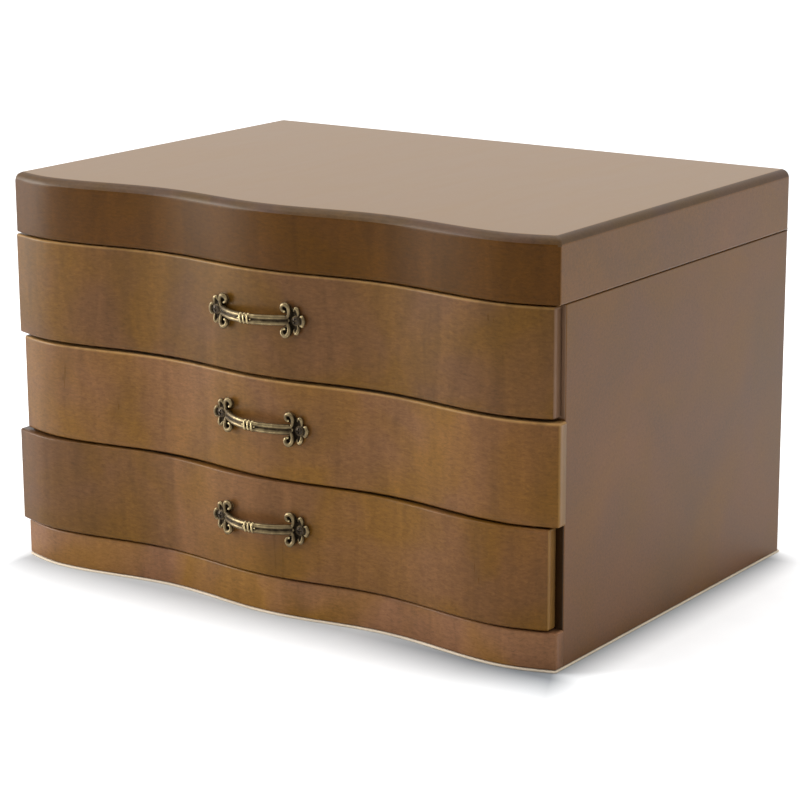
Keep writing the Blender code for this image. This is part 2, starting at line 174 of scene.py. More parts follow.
def wood(name, color, gloss=0.5, rough=0.34, seed=0, upright=False, contrast=1.0, rub_and_highlight_top=None,
         end=None, dark_end=1.0, amber=False, painted_front_edge=None):
    """Stained close-grained wood under a thin satin lacquer; the grain runs along X, or Z.

    The stain is rubbed thin along a top edge at the height given, with a highlight painted on it.
    The right end is given as (x, share, color): a paler end face, painted sheen. The board with
    its front edge at the y given has painted shade on that edge beside the bottom drawer, less
    beside the middle one, and painted sheen beside the top one.
    """
    made = Finish(name)
    turn = (0, math.radians(90), 0) if upright else (0, 0, 0)
    shift = (0.37 * seed, 0.61 * seed, 0.83 * seed)
    along = made.object_place((1, 1, 1), shift, turn)
    fibre = made.object_place((42, 130, 130), shift, turn)
    pore = made.object_place((170, 520, 520), shift, turn)
    figure = made.object_place((50, 9, 11), shift, turn)
    broad = made.noise(along, 24, 2.0, 0.5, 0.5)
    mottle = made.noise(figure, 1.6, 4.0, 0.6, 0.8)
    streaks = made.noise(fibre, 7.0, 5.0, 0.75, 0.6)
    pores = made.noise(pore, 3.0, 2.0, 0.5)
    rosy = (color[0], color[1], color[2] * 1.5)
    golden = (color[0] * 1.02, color[1] * 1.02, color[2] * 0.62)
    tint = 0.5 * min(1.0, contrast)
    tone = made.mix(made.remap(broad, 0.38, 0.62, 0.5 - tint, 0.5 + tint), rosy, golden)
    cloud = made.remap(mottle, 0.28, 0.72, 1 - 0.19 * contrast, 1 + 0.19 * contrast)
    line = made.remap(streaks, 0.3, 0.7, 1 - 0.24 * contrast, 1 + 0.24 * contrast)
    dash = made.remap(pores, 0.56, 0.72, 1.0, 1 - 0.13 * contrast)
    tone = made.shaded(tone, made.multiply(made.multiply(cloud, line), dash))
    spot = made.add("SeparateXYZ", {0: made.object_place()}).outputs
    patchiness = made.remap(mottle, 0.3, 0.6, 0.55, 1.0)
    if dark_end < 1.0:
        tone = made.shaded(tone, made.remap(spot["X"], *DARK_RUN, dark_end, 1.0))
    if amber:
        tone = made.mix(made.remap(spot["X"], *AMBER_RUN), tone, AMBER_END, "MULTIPLY")
    # Along the top edge: rubbed stain and a painted highlight.
    if rub_and_highlight_top is not None:
        low, high = rub_and_highlight_top - HIGHLIT_RUB_WIDTH, rub_and_highlight_top - 0.2 * HIGHLIT_RUB_WIDTH
        near = made.remap(spot["Z"], low, high, 0.0, 0.45)
        tone = made.mix(made.multiply(near, patchiness), tone, RUBBED_AND_HIGHLIT)
    # Paler end face: painted sheen.
    if end is not None:
        end_x, sheen_share, end_color = end
        near = made.remap(spot["X"], end_x - 0.0005, end_x - 0.0002, 0.0, sheen_share)
        tone = made.mix(made.multiply(near, patchiness), tone, end_color)
    # The case's front edge: painted shade in the gaps beside the bottom and middle drawers,
    # painted sheen beside the top one.
    if painted_front_edge is not None:
        at_edge = made.remap(spot["Y"], painted_front_edge + 0.0002, painted_front_edge + 0.0001)
        low, high = GAP_OVER_DRAWER_3, GAP_OVER_DRAWER_3 + 0.0004
        painted_band = made.shaded(tone, made.remap(spot["Z"], low, high, *PAINTED_GAP_SHADES))
        low, high = GAP_OVER_DRAWER_2, GAP_OVER_DRAWER_2 + 0.0008
        painted_band = made.mix(made.remap(spot["Z"], low, high), painted_band, GREY_EDGE_SHEEN)
        tone = made.mix(at_edge, tone, painted_band)
    rise = made.add("Math", {0: streaks, 1: dash}, operation="ADD").outputs[0]
    relief = min(1.0, 1.5 * contrast)
    low, high = rough - 0.04 * relief, rough + 0.05 * relief
    made.put(
        made.shader,
        {
            "Base Color": tone,
            "Roughness": made.remap(mottle, 0.2, 0.8, low, high),
            "Specular IOR Level": gloss,
            "Specular Tint": LACQUER_TINT,
            "Normal": made.bump(rise, 0.10 * relief, 0.00015),
        },
    )
    return made.material


def fabric(name, color, scale, fuzz, depth, sheen):
    """Short-piled cloth: velvet or felt."""
    made = Finish(name)
    place = made.object_place()
    pile = made.noise(place, scale, 4.0, 0.65)
    brushed = made.noise(made.object_place((30, 22, 30)), 1.0, 3.0, 0.6, 0.8)
    tone = made.mix(made.remap(brushed, 0.3, 0.7), tinted(color, 0.84), tinted(color, 1.15))
    tone = made.mix(made.remap(pile, 0.35, 0.65, 0, fuzz), tone, tinted(color, 0.55))
    made.put(
        made.shader,
        {
            "Base Color": tone,
            "Roughness": made.remap(pile, 0.3, 0.7, 0.86, 1.0),
            "Specular IOR Level": 0.15,
            "Sheen Weight": sheen,
            "Sheen Roughness": 0.45,
            "Normal": made.bump(pile, 0.6, depth),
        },
    )
    made.shader.inputs["Sheen Tint"].default_value = (*tinted(color, 2.2), 1)
    return made.material


def bronze(name):
    """Cast brass with an antique patina: dark in the recesses, rubbed bright on the ridges."""
    made = Finish(name)
    worn = made.add("Attribute", {}, attribute_name="wear").outputs["Fac"]
    place = made.object_place()
    patches = made.noise(place, 420, 4.0, 0.6)
    specks = made.noise(place, 1900, 3.0, 0.6)
    shift = made.remap(patches, 0.3, 0.7, -0.09, 0.09)
    level = made.add("Math", {0: worn, 1: shift}, operation="ADD").outputs[0]
    ramp = made.add("ValToRGB", {"Fac": level})
    stops = (
        (0.28, (0.018, 0.013, 0.008)),
        (0.46, (0.075, 0.054, 0.030)),
        (0.66, (0.180, 0.135, 0.070)),
        (0.90, (0.540, 0.430, 0.225)),
    )
    while len(ramp.color_ramp.elements) < len(stops):
        ramp.color_ramp.elements.new(0.5)
    for element, (position, color) in zip(ramp.color_ramp.elements, stops):
        element.position = position
        element.color = (*color, 1)
    made.put(
        made.shader,
        {
            "Base Color": ramp.outputs[0],
            "Metallic": 1.0,
            "Roughness": made.remap(level, 0.3, 0.8, 0.58, 0.27),
            "Normal": made.bump(specks, 0.25, 0.00005),
        },
    )
    return made.material


def metal(name, color, rough):
    """Plain metal with faint tarnish and scratches."""
    made = Finish(name)
    place = made.object_place()
    tarnish = made.noise(place, 240, 4.0, 0.6)
    scratches = made.noise(place, 900, 2.0, 0.6)
    tone = made.mix(made.remap(tarnish, 0.3, 0.7), tinted(color, 0.68), tinted(color, 1.12))
    made.put(
        made.shader,
        {
            "Base Color": tone,
            "Metallic": 1.0,
            "Roughness": made.remap(tarnish, 0.3, 0.7, rough + 0.10, rough - 0.06),
            "Normal": made.bump(scratches, 0.12, 0.00004),
        },
    )
    return made.material


def mirror_glass(name):
    """Silvered glass, with the faintest haze."""
    made = Finish(name)
    haze = made.noise(made.object_place(), 35, 3.0, 0.6)
    tone = made.mix(made.remap(haze, 0.3, 0.7), (0.86, 0.88, 0.88), (0.90, 0.91, 0.91))
    values = {"Base Color": tone, "Metallic": 1.0}
    values["Roughness"] = made.remap(haze, 0.3, 0.7, 0.015, 0.045)
    made.put(made.shader, values)
    return made.material


# ------------------------------------------------------------- helpers


def new_object(name, bm, finish, recalc=True):
    """Object from a bmesh."""
    if recalc:
        bmesh.ops.recalc_face_normals(bm, faces=bm.faces)
    mesh = bpy.data.meshes.new(name)
    bm.to_mesh(mesh)
    bm.free()
    for each in finish if isinstance(finish, (list, tuple)) else [finish]:
        mesh.materials.append(each)
    obj = bpy.data.objects.new(name, mesh)
    bpy.context.scene.collection.objects.link(obj)
    return obj


def modify(obj, kind, **settings):
    made = obj.modifiers.new(kind.title(), kind)
    for key, value in settings.items():
        setattr(made, key, value)
    return made


def bake(obj):
    """Turns the object's modifiers into its own mesh."""
    depsgraph = bpy.context.evaluated_depsgraph_get()
    mesh = bpy.data.meshes.new_from_object(obj.evaluated_get(depsgraph), depsgraph=depsgraph)
    obj.modifiers.clear()
    obj.data = mesh
    return obj


def settle(obj, body, slot, *nodes):
    """Puts a finished piece on its body, in place of CAD nodes."""
    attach(obj, body)
    if nodes:
        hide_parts(*nodes)
    return obj


def dress(node, finish, ease=0.0003, segments=2):
    """Gives a CAD node its finish and slightly eased edges."""
    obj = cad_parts[node]
    obj.data.materials.clear()
    obj.data.materials.append(finish)
    if ease:
        modify(
            obj, "BEVEL", width=ease, segments=segments, limit_method="ANGLE",
            angle_limit=math.radians(40), harden_normals=True,
        )
    return obj


def bulge_at(x):
    """How far the wavy front stands forward of its corners at x."""
    if abs(x) < BULGE_PITCH:
        return BULGE * (1 + math.cos(2 * math.pi * x / BULGE_PITCH)) / 2
    end_run = HALF_WIDTH - BULGE_PITCH
    return BULGE * math.cos(math.pi / 2 * (abs(x) - BULGE_PITCH) / end_run)


def wave(half_width, forward, shift_x=0.0, shift_y=0.0):
    """Points of the wavy front line, left to right, in the row frame."""
    points = []
    for i in range(WAVE_STEPS + 1):
        x = half_width * (2 * i / WAVE_STEPS - 1)
        points.append((x + shift_x, FRONT - forward - bulge_at(x) + shift_y))
    return points


def prism(outline, bottom, top):
    """Upright solid over an outline of (x, y) points."""
    bm = bmesh.new()
    base = bm.faces.new([bm.verts.new((x, y, bottom)) for x, y in outline])
    raised = bmesh.ops.extrude_face_region(bm, geom=[base])["geom"]
    verts = [item for item in raised if isinstance(item, bmesh.types.BMVert)]
    bmesh.ops.translate(bm, verts=verts, vec=(0, 0, top - bottom))
    return bm


def weigh(bm, rule):
    """Bevel weight of every edge that is a real corner, from rule(edge)."""
    bmesh.ops.recalc_face_normals(bm, faces=bm.faces)
    layer = bm.edges.layers.float.new("bevel_weight_edge")
    for edge in bm.edges:
        if len(edge.link_faces) == 2 and edge.calc_face_angle(0) > math.radians(40):
            edge[layer] = rule(edge)


def rounded(obj, width, segments, clamp=True):
    """Rounds the weighted edges and shades the piece smoothly."""
    obj.data.shade_smooth()
    modify(
        obj, "BEVEL", width=width, segments=segments, limit_method="WEIGHT",
        harden_normals=True, use_clamp_overlap=clamp,
    )
    return bake(obj)


# --------------------------------------------------------------- boards


def wavy_board(name, node, finish, body, ease):
    """Board with the wavy front over a frame node; its flat back stays sharp."""
    low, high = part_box(node)
    half_width = (high.x - low.x) / 2
    peak = FRONT - BULGE
    outline = wave(half_width, 0, (high.x + low.x) / 2, low.y - peak)
    back = high.y
    if body == "case":
        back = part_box("left_side_panel")[0].y + 0.0004
    outline += [(high.x, back), (low.x, back)]
    bm = prism(outline, low.z, high.z)
    weigh(bm, lambda edge: 0.0 if all(v.co.y > back - 1e-5 for v in edge.verts) else 1.0)
    obj = rounded(new_object(name, bm, finish), ease, 4)
    return settle(obj, body, "lacquered_wood", node)


def straight_board(name, node, finish, body, ease):
    """Straight board over a frame node, with rounded edges."""
    low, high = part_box(node)
    outline = [(low.x, low.y), (high.x, low.y), (high.x, high.y), (low.x, high.y)]
    bm = prism(outline, low.z, high.z)
    outer_x = high.x if high.x > 0 else low.x

    def weight(edge):
        at_corner = all(
            v.co.y > high.y - 1e-5 and abs(v.co.x - outer_x) < 1e-5 for v in edge.verts
        )
        return 1.0 if at_corner else ease / SIDE_BACK_EASE

    weigh(bm, weight)
    obj = rounded(new_object(name, bm, finish), SIDE_BACK_EASE, 5)
    return settle(obj, body, "lacquered_wood", node)


def build_lid(side_finish, front_finish, top_finish, rim_finish):
    """Lid in one continuous shell: rounded top edge, eased foot, hollow underneath."""
    low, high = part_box("lid_panel")
    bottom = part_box("lid_front_rail")[0].z
    half_width = (high.x - low.x) / 2
    line = wave(half_width, FRONT - BULGE - low.y)
    corner_run = half_width - 1.6 * LID_ROUNDING
    line = [line[0]] + [p for p in line if abs(p[0]) < corner_run] + [line[-1]]
    last, rows = len(line) - 1, LID_ROWS

    def spot(i, j):
        x, y = line[i]
        return x, y + (high.y - y) * j / rows

    around = [(i, 0) for i in range(last + 1)] + [(last, j) for j in range(1, rows)]
    around += [(last - i, rows - j) for i, j in around]
    outline = [spot(i, j) for i, j in around]
    inside_x = half_width - LID_WALL
    inside_front = FRONT + LID_WALL
    inside_back = high.y - LID_WALL
    inner = [
        (max(-inside_x, min(inside_x, x)), max(inside_front, min(inside_back, y)))
        for x, y in outline
    ]
    ceiling = low.z
    bm = bmesh.new()
    rings = []
    levels = ((outline, high.z), (outline, bottom), (inner, bottom), (inner, ceiling))
    for points, z in levels:
        rings.append([bm.verts.new((x, y, z)) for x, y in points])
    for first, second in zip(rings, rings[1:]):
        for i in range(len(first)):
            bm.faces.new((first[i - 1], first[i], second[i], second[i - 1]))
    grid = dict(zip(around, rings[0]))
    for i in range(last + 1):
        for j in range(rows + 1):
            if (i, j) not in grid:
                grid[i, j] = bm.verts.new((*spot(i, j), high.z))
    for i in range(last):
        for j in range(rows):
            bm.faces.new([grid[i, j], grid[i + 1, j], grid[i + 1, j + 1], grid[i, j + 1]])
    bm.faces.new(rings[-1])
    bmesh.ops.remove_doubles(bm, verts=bm.verts, dist=1e-6)
    small = LID_EDGE_EASE / LID_ROUNDING

    def weight(edge):
        heights = [vert.co.z for vert in edge.verts]
        outside = all(abs(v.co.x) > inside_x + 1e-5 or v.co.y > inside_back + 1e-5
                      or v.co.y < inside_front - 1e-5 for v in edge.verts)
        if not outside:
            return 0.1
        if min(heights) > high.z - 1e-5:
            return 1.0
        if max(heights) > bottom + 1e-5:
            return 1.0 if edge.verts[0].co.y > 0 else LID_CORNER / LID_ROUNDING
        return small

    weigh(bm, weight)
    shell = new_object("lid_shell", bm, [side_finish, front_finish, top_finish, rim_finish])
    obj = rounded(shell, LID_ROUNDING, 8, clamp=False)
    # Faces of the rounded top edge take the rim finish, with its painted shade.
    for face in obj.data.polygons:
        if face.center.z > high.z - LID_ROUNDING and 0.2 < face.normal.z < 0.98:
            face.material_index = 3
        elif face.normal.z > 0.95:
            face.material_index = 2
        elif face.normal.y < -0.4 and face.center.y < FRONT + 0.003:
            face.material_index = 1
    rails = [f"lid_{side}_rail" for side in ("front", "left", "right", "back")]
    return settle(obj, "lid", "lacquered_wood", "lid_panel", *rails)


# -------------------------------------------------------------- handles


def tube(bm, points, radii, sides=12, up=None):
    """Rod of varying radius along points, with rounded ends; (a, b) radii make it oval."""
    rings = []
    points = [Vector(p) for p in points]
    normal = None
    for i, point in enumerate(points):
        along = (points[min(i + 1, len(points) - 1)] - points[max(i - 1, 0)]).normalized()
        if up is not None:
            side = along.cross(up).normalized()
        else:
            if normal is None:
                normal = along.orthogonal().normalized()
            normal = (normal - along * normal.dot(along)).normalized()
            side = normal
        other = side.cross(along).normalized()
        wide, tall = radii[i] if isinstance(radii[i], tuple) else (radii[i], radii[i])
        ring = []
        for k in range(sides):
            angle = math.tau * k / sides
            ring.append(point + side * (wide * math.cos(angle)) + other * (tall * math.sin(angle)))
        rings.append((ring, point, along, min(wide, tall)))
    for end, sign in ((0, -1), (-1, 1)):
        ring, point, along, size = rings[end]
        cap = []
        for share in (0.55, 0.85):
            lift = along * (sign * size * share)
            shrink = math.sqrt(1 - share * share)
            cap.append(([point + lift + (v - point) * shrink for v in ring], point, along, size))
        rings = list(reversed(cap)) + rings if end == 0 else rings + cap
    made = [[bm.verts.new(v) for v in ring] for ring, _, _, _ in rings]
    for first, second in zip(made, made[1:]):
        for k in range(sides):
            bm.faces.new((first[k - 1], first[k], second[k], second[k - 1]))
    bm.faces.new(made[0])
    bm.faces.new(reversed(made[-1]))


def disc(bm, place, high, taper):
    """Round plate of radius 1, narrower at the top."""
    shape = place @ Matrix.Translation((0, 0, high / 2))
    bmesh.ops.create_cone(
        bm, cap_ends=True, segments=24, radius1=1, radius2=taper, depth=high, matrix=shape
    )


def ball(bm, place, radius):
    bmesh.ops.create_uvsphere(
        bm, u_segments=14, v_segments=10, radius=radius, matrix=Matrix.Translation(place)
    )


# Each rod of a foot: (away from the bow, up, out of the board, radius), in millimetres.
SCROLL = (
    (-4.8, 0.4, 1.9, 0.66), (-3.7, 1.4, 1.8, 0.72), (-3.1, 2.7, 1.7, 0.78),
    (-2.9, 4.2, 1.8, 0.88), (-3.2, 5.7, 1.9, 1.00), (-4.3, 6.8, 2.0, 1.10), (-5.7, 6.5, 2.0, 1.02),
    (-6.5, 5.4, 1.9, 0.86), (-6.2, 4.2, 1.8, 0.72), (-5.3, 3.8, 1.7, 0.66),
)
PETAL = (
    (-0.9, 4.2, 0.95, 0.50), (-0.5, 5.0, 1.1, 0.64), (0.2, 5.4, 1.1, 0.84),
    (0.9, 4.9, 1.05, 0.92), (1.1, 4.0, 0.95, 0.86), (1.2, 3.1, 0.85, 0.70), (1.1, 2.4, 0.8, 0.56),
)
TIP = (
    (2.2, 1.9, 0.8, 0.50), (3.0, 2.0, 0.8, 0.76), (3.5, 1.3, 0.8, 0.80), (3.8, 0.5, 0.8, 0.84),
    (3.8, -0.5, 0.8, 0.84), (3.5, -1.3, 0.8, 0.80), (3.0, -2.0, 0.8, 0.76), (2.2, -1.9, 0.8, 0.50),
)


def curve(points, steps=6):
    """Smooth line through points."""
    points = [np.array(p, float) for p in points]
    padded = [2 * points[0] - points[1], *points, 2 * points[-1] - points[-2]]
    line = []
    for a, b, c, d in zip(padded, padded[1:], padded[2:], padded[3:]):
        for i in range(steps):
            t = i / steps
            bend = (2 * a - 5 * b + 4 * c - d) * t**2 + (3 * b - a - 3 * c + d) * t**3
            line.append((2 * b + (c - a) * t + bend) / 2)
    return [*line, points[-1]]


def foot_pieces(bm, foot, side):
    """Screw seat, petals and scrolls of one end of a handle."""
    scale = Matrix.Diagonal((side * 0.001, 0.001, 0.001, 1))

    def plate(u, v, half_u, half_v, high, taper=0.85):
        shape = Matrix.Translation((u, v, 0)) @ Matrix.Diagonal((half_u, half_v, 1, 1))
        disc(bm, foot @ scale @ shape, high, taper)

    def rod(points, up=1):
        line = curve(points)
        tube(bm, [foot @ scale @ Vector((p[0], up * p[1], p[2])) for p in line],
             [p[3] * 0.001 for p in line])

    plate(0, 0, 2.7, 2.7, 1.05)
    plate(2.9, 0, 1.3, 2.2, 0.9)
    plate(-4.3, 0, 1.9, 1.5, 1.9, 0.8)
    plate(-2.4, 0, 1.6, 2.6, 0.9)
    rod(TIP)
    for v in (-0.95, 0, 0.95):
        ball(bm, foot @ scale @ Vector((3.15 - abs(v) * 0.15, v, 1.0)), 0.0004)
    plate(0, 0, 2.15, 2.15, 1.2, 0.95)
    for up in (-1, 1):
        plate(0.1, up * 3.9, 1.6, 2.1, 0.85)
        plate(-1.8, up * 3.1, 1.3, 2.0, 0.75)
        plate(-4.5, up * 4.8, 2.4, 2.4, 1.1)
        rod(PETAL, up)
        rod(SCROLL, up)
        ball(bm, foot @ scale @ Vector((SCROLL[-1][0], up * SCROLL[-1][1], 1.7)), 0.00072)


def bow_path(ends):
    """Centre line of the bow, which arches forward between its two ends."""
    left, right = ends
    path = []
    for i in range(BOW_STEPS + 1):
        across = math.sin(math.pi * (i / BOW_STEPS - 0.5))
        point = left.lerp(right, (1 + across) / 2)
        point.y -= BOW_RISE * max(1 - across**2, 0) ** 0.9
        path.append(point)
    return path


def cast_handle(number, finish):
    """Handle with its rosettes, scrolls, grooved bow and ringed collar, as one casting."""
    boxes = [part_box(f"drawer_{number}_handle_screw_{side}") for side in ("left", "right")]
    middles = [(low + high) / 2 for low, high in boxes]
    low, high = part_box(f"drawer_{number}_front")
    shift = Vector(((low.x + high.x) / 2, low.y - (FRONT - BULGE), 0))
    middle = (middles[0] + middles[1]) / 2
    middle_x = middle.x - shift.x
    tilt = math.atan2(middles[0].z - middles[1].z, middles[1].x - middles[0].x)
    pivot = Matrix.Translation((middle_x, 0, 0))
    turn = pivot @ Matrix.Rotation(tilt, 4, "Y") @ pivot.inverted()
    placing = Matrix.Translation(shift + Vector((0, 0, middle.z))) @ turn
    feet = []
    for side in (-1, 1):
        x = middle_x + side * ROSETTE_X
        slope = (bulge_at(x + 1e-5) - bulge_at(x - 1e-5)) / 2e-5
        seat = Vector((x, FRONT - bulge_at(x) - FOOT_SINK, 0))
        lean = Matrix.Rotation(-FOOT_LEAN * math.atan(slope), 4, "Z")
        feet.append(placing @ Matrix.Translation(seat) @ lean @ OUT_OF_FRONT)
    bm = bmesh.new()
    for side, foot in zip((-1, 1), feet):
        foot_pieces(bm, foot, side)
    ends = [
        placing.inverted() @ foot @ Vector((-side * BOW_END, 0, FOOT_THICK - 0.0004))
        for side, foot in zip((-1, 1), feet)
    ]
    path = bow_path(ends)
    up = Vector((0, 0, 1))
    count = len(path)
    for rise, back, size in BOW_STRANDS:
        line = [placing @ (p + up * rise + Vector((0, back, 0))) for p in path]
        radii = []
        for i in range(count):
            edge = abs(2 * i / (count - 1) - 1)
            swell = 1.0 + 0.10 * edge**3
            grown = tuple(r * swell for r in size) if isinstance(size, tuple) else size * swell
            radii.append(grown)
        tube(bm, line, radii, 16, up)
    center = path[count // 2]
    out, rise = COLLAR_REACH
    for i in (-1, 0, 1):
        ring_middle = center + Vector((COLLAR_STEP * i, 0, 0))
        share = ring_middle.x - center.x
        ring_middle.y += share * share * 9  # the rings follow the bow
        ring = []
        for k in range(33):
            angle = math.tau * k / 32
            offset = Vector((0, out * math.cos(angle), rise * math.sin(angle)))
            ring.append(placing @ (ring_middle + offset))
        tube(bm, ring, [COLLAR_ROD] * len(ring))
    for i in (-1, 1):
        for rise in (-0.0012, 0.0, 0.0012):
            spot = center + Vector((i * 0.00315, -0.0008 + abs(rise) * 0.25, rise))
            ball(bm, placing @ spot, 0.00042)
    obj = new_object(f"drawer_{number}_handle_casting", bm, finish)
    modify(obj, "REMESH", mode="VOXEL", voxel_size=HANDLE_VOXEL)
    modify(obj, "SMOOTH", factor=0.5, iterations=2)
    bake(obj)
    modify(obj, "DECIMATE", ratio=0.45)
    bake(obj)
    obj.data.shade_smooth()
    mark_wear(obj.data)
    settle(obj, f"drawer_{number}", "antique_bronze", f"drawer_{number}_handle")
    return feet


def mark_wear(mesh):
    """Stores how far each point stands proud (near 1) or lies in a recess (near 0)."""
    count = len(mesh.vertices)
    place = np.zeros(count * 3, np.float32)
    normal = np.zeros(count * 3, np.float32)
    mesh.vertices.foreach_get("co", place)
    mesh.vertices.foreach_get("normal", normal)
    place, normal = place.reshape(-1, 3), normal.reshape(-1, 3)
    ends = np.zeros(len(mesh.edges) * 2, np.int32)
    mesh.edges.foreach_get("vertices", ends)
    first, second = ends.reshape(-1, 2).T
    degree = np.bincount(ends, minlength=count).astype(float)

    def spread(values):
        total = np.bincount(first, values[second], count)
        total += np.bincount(second, values[first], count)
        return total / np.maximum(degree, 1)

    step = place[second] - place[first]
    length = np.maximum(np.linalg.norm(step, axis=1), 1e-9)
    lean_first = (step * normal[first]).sum(1) / length**2
    lean_second = -(step * normal[second]).sum(1) / length**2
    hollow = np.bincount(first, lean_first, count) + np.bincount(second, lean_second, count)
    hollow /= np.maximum(degree, 1)
    near = hollow
    for _ in range(3):
        near = spread(near)
    far = near
    for _ in range(14):
        far = spread(far)
    back, front = place[:, 1].max(), place[:, 1].min()
    proud = (back - place[:, 1]) / (back - front)
    level = 0.46 - (0.55 * near + 0.75 * far) / 1900 + 0.22 * (proud - 0.45)
    attribute = mesh.attributes.new("wear", "FLOAT", "POINT")
    attribute.data.foreach_set("value", np.clip(level, 0, 1).astype(np.float32))


def screw_head(name, place, radius, height, slot_depth, finish, body, node):
    """Domed screw head with a cross recess, and its shank; +Z of place points out of it.

    The arms of the cross are 0.17 of the radius to each side and 0.72 long.
    """
    bm = bmesh.new()
    around, out = 48, 20
    rings = []
    for j in range(1, out + 1):
        ring = []
        share = j / out
        for i in range(around):
            angle = math.tau * i / around
            x, y = share * math.cos(angle), share * math.sin(angle)
            dome = height * (1 - 0.75 * share**3)
            arm = min(abs(x), abs(y))
            reach = max(abs(x), abs(y))
            inside = max(0, min(1, (0.17 - arm) / 0.07)) * max(0, min(1, (0.72 - reach) / 0.08))
            level = dome - slot_depth * inside
            ring.append(bm.verts.new((x * radius, y * radius, level)))
        rings.append(ring)
    profile = [(radius, 0), (radius * 0.42, 0), (radius * 0.40, -0.0044), (radius * 0.12, -0.0052)]
    for reach, level in profile:
        rings.append([
            bm.verts.new((reach * math.cos(math.tau * i / around),
                          reach * math.sin(math.tau * i / around), level))
            for i in range(around)
        ])
    top = bm.verts.new((0, 0, height - slot_depth))
    for i in range(around):
        bm.faces.new((top, rings[0][i - 1], rings[0][i]))
    for first, second in zip(rings, rings[1:]):
        for i in range(around):
            bm.faces.new((first[i - 1], first[i], second[i], second[i - 1]))
    bm.faces.new(rings[-1])
    bm.transform(place)
    obj = new_object(name, bm, finish)
    obj.data.shade_smooth()
    obj.data.set_sharp_from_angle(angle=math.radians(55))
    slot = "handle_screw" if "handle" in node else "hinge_brass"
    return settle(obj, body, slot, node)


# --------------------------------------------------------------- fabric


def rounded_rectangle(center, half, corner, steps=6):
    """Points of a rectangle with round corners, anticlockwise."""
    corner = max(corner, 0.0002)
    points = []
    for quarter, (sx, sy) in enumerate(((1, 1), (-1, 1), (-1, -1), (1, -1))):
        for k in range(steps + 1):
            angle = math.pi / 2 * (quarter + k / steps)
            x = sx * (half[0] - corner) + corner * math.cos(angle)
            y = sy * (half[1] - corner) + corner * math.sin(angle)
            points.append((center[0] + x, center[1] + y))
    return points


def ringed(name, rings, finish):
    """Closed skin over a stack of rings of equal count, closed by the first and the last."""
    bm = bmesh.new()
    made = [[bm.verts.new(point) for point in ring] for ring in rings]
    for first, second in zip(made, made[1:]):
        for i in range(len(first)):
            bm.faces.new((first[i - 1], first[i], second[i], second[i - 1]))
    bm.faces.new(made[0])
    bm.faces.new(reversed(made[-1]))
    return new_object(name, bm, finish)


def folded_lining(name, low, high, finish, body, thick=0.0007, fold=0.0022):
    """Velvet folded up the four walls of a compartment between two opposite corners."""
    center = ((low.x + high.x) / 2, (low.y + high.y) / 2)
    half = ((high.x - low.x) / 2, (high.y - low.y) / 2)
    height = high.z - low.z
    profile = [(thick * 0.6, 0.0), (0.0, thick * 0.5), (0.0, height - thick * 0.5)]
    profile += [(thick * 0.5, height), (thick, height - thick * 0.5)]
    for k in range(7):
        angle = math.pi / 2 * k / 6
        inset = thick + fold * (1 - math.cos(angle))
        profile.append((inset, thick + fold * (1 - math.sin(angle))))
    rings = []
    for inset, rise in profile:
        shape = rounded_rectangle(center, (half[0] - inset, half[1] - inset), 0.002 - inset * 0.4)
        rings.append([(x, y, low.z + rise) for x, y in shape])
    obj = ringed(name, rings, finish)
    obj.data.shade_smooth()
    obj.data.set_sharp_from_angle(angle=math.radians(60))
    settle(obj, body, "velvet")
    return obj


def lid_lining(finish):
    """Velvet sheet on the underside of the lid, with a window for the mirror."""
    glass_low, glass_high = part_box("lid_mirror")
    panel_low, panel_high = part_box("lid_panel")
    ceiling = panel_low.z
    gap, glass_gap = 0.0004, 0.0006
    half_x = (panel_high.x - panel_low.x) / 2 - LID_WALL - gap
    low_y, high_y = FRONT + LID_WALL + gap, panel_high.y - LID_WALL - gap
    center = (0, (low_y + high_y) / 2)
    half = (half_x, (high_y - low_y) / 2)
    glass = glass_high - glass_low
    window_half = (glass.x / 2 + glass_gap, glass.y / 2 + glass_gap)
    window_center = (0, (glass_low.y + glass_high.y) / 2)
    low, high = ceiling - 0.0014, ceiling - 0.0002
    outer = rounded_rectangle(center, half, 0.002)
    window = rounded_rectangle(window_center, window_half, 0.0015)
    bm = bmesh.new()
    rings = []
    for points, z in ((outer, low), (outer, high), (window, high), (window, low)):
        rings.append([bm.verts.new((x, y, z)) for x, y in points])
    for first, second in zip(rings, rings[1:] + rings[:1]):
        for i in range(len(first)):
            bm.faces.new((first[i - 1], first[i], second[i], second[i - 1]))
    obj = new_object("lid_lining", bm, finish)
    modify(obj, "BEVEL", width=0.0003, segments=2, limit_method="ANGLE", harden_normals=True)
    bake(obj)
    settle(obj, "lid", "velvet")
    return obj


CUSHION_STEPS = 58
CUSHION_SIDES = 28
CUSHION_FRAMES = 20
CUSHION_CAP = 0.0011  # how far the simulation may move a point
CUSHION_CLOTH = {
    "quality": 6, "mass": 0.05, "use_pressure": True, "uniform_pressure_force": 4.0,
    "tension_stiffness": 12, "compression_stiffness": 12, "bending_stiffness": 0.02,
}


